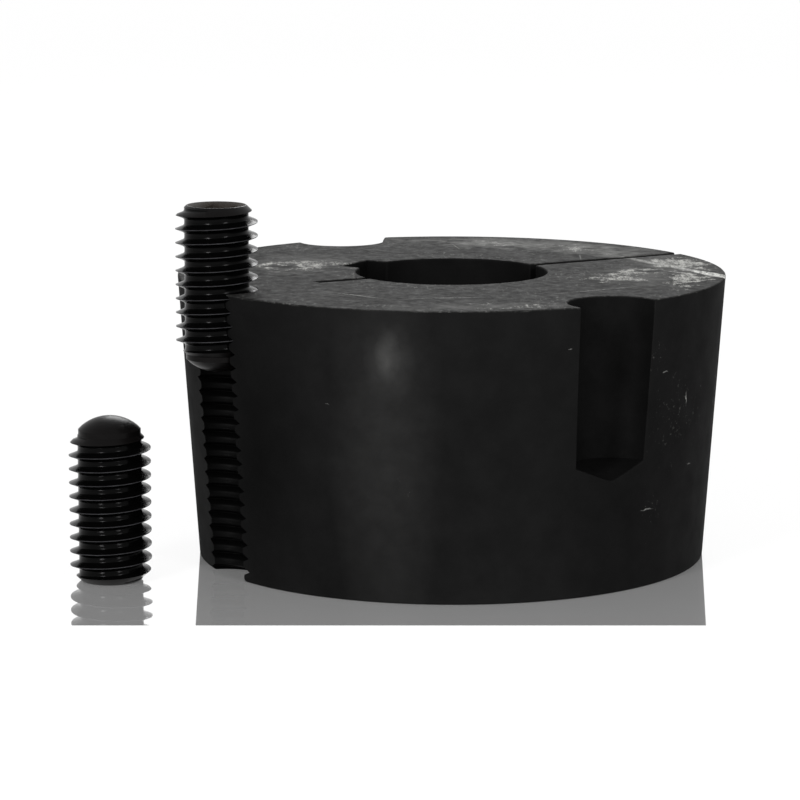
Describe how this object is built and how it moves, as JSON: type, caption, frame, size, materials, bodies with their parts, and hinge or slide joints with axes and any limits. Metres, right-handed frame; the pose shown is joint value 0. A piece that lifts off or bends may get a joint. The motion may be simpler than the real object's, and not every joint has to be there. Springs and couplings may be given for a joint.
{
  "type": "taper bush",
  "caption": "Black split taper bush with a keyed bore and half-holes in its rim, a set screw in place and its twin standing beside it.",
  "frame": {"origin": "on the bore axis at the small end face, which stands on the floor", "axes": "+Z along the bore axis towards the large end, +X from the bore axis towards the keyway"},
  "size_m": [0.0856, 0.0955, 0.0574],
  "materials": {
    "phosphated_cast_iron": "black phosphated, satin",
    "black_oxide_steel": "black oxide, oiled"
  },
  "bodies": {
    "root": {"taper_bush": "phosphated_cast_iron", "seated_set_screw": "black_oxide_steel", "loose_set_screw": "black_oxide_steel"}
  },
  "joints": []
}
